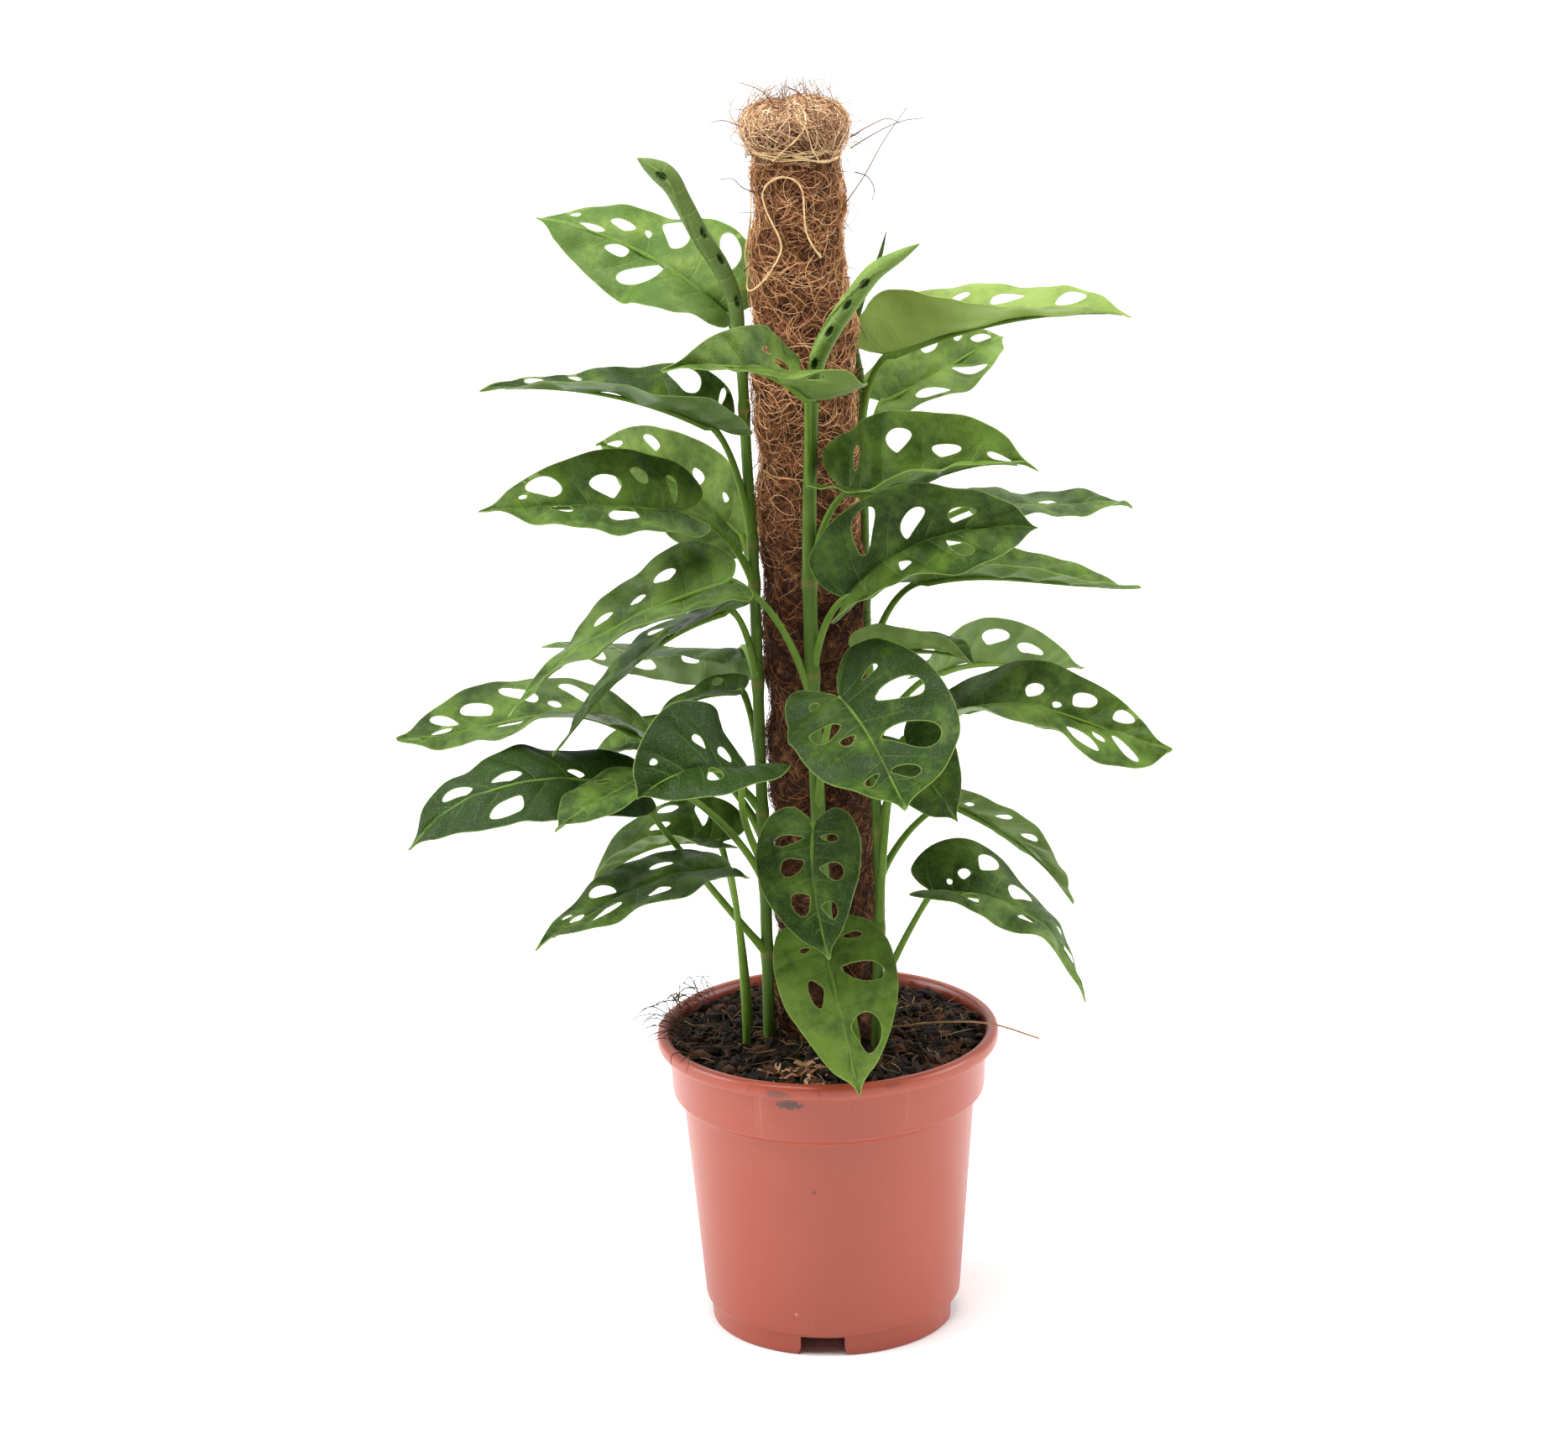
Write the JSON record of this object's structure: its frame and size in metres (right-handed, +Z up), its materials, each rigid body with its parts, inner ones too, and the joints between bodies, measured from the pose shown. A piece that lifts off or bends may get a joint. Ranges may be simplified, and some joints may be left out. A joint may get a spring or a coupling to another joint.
{
  "type": "potted climbing monstera plant",
  "caption": "Climbing house plant with pierced heart-shaped leaves on vines up a coir-wrapped stake, rooted in soil in a tapered plastic nursery pot.",
  "frame": {"origin": "middle of the whole plant's bounding box in x and y, on the surface the pot stands on", "axes": "+Z up the pole; the front that the long leaves frame faces -Y; the pot's axis stands 19 mm to +X and 1.5 mm to -Y of the origin"},
  "size_m": [0.378, 0.2973, 0.619],
  "materials": {
    "pot": "satin injection-moulded polypropylene",
    "soil": "crumbly peat",
    "stake": "plain",
    "coir": "coarse fibre",
    "twine": "twisted",
    "stem": "smooth",
    "leaf": "satin, waxy",
    "young_leaf": "satin, waxy"
  },
  "bodies": {
    "root": {"pot": "pot", "soil": "soil", "pole_core": "stake", "coir_wrap": "coir", "twine_tie": "twine", "twine_loop": "twine", "twine_tail": "twine", "stem_front": "stem", "stem_left": "stem", "stem_right": "stem", "stem_low": "stem", "leaf_01": "leaf", "leaf_03": "leaf", "leaf_04": "leaf", "leaf_07": "leaf", "leaf_08": "leaf", "leaf_09": "leaf", "leaf_10": "leaf", "leaf_11": "leaf", "leaf_12": "leaf", "leaf_13": "leaf", "leaf_14": "leaf", "leaf_15": "leaf", "leaf_16": "leaf", "leaf_17": "leaf", "leaf_18": "leaf", "leaf_19": "leaf", "leaf_20": "leaf", "leaf_21": "leaf", "leaf_22": "leaf", "leaf_23": "leaf", "leaf_24": "leaf", "leaf_25": "leaf", "leaf_26": "leaf", "leaf_27": "leaf", "leaf_28": "leaf", "leaf_29": "leaf", "leaf_30": "leaf", "leaf_31": "leaf", "leaf_32": "leaf", "leaf_33": "leaf", "leaf_34": "leaf", "leaf_35": "leaf", "leaf_36": "leaf", "leaf_37": "leaf", "leaf_02": "young_leaf", "leaf_05": "young_leaf", "leaf_06": "young_leaf"}
  },
  "joints": []
}
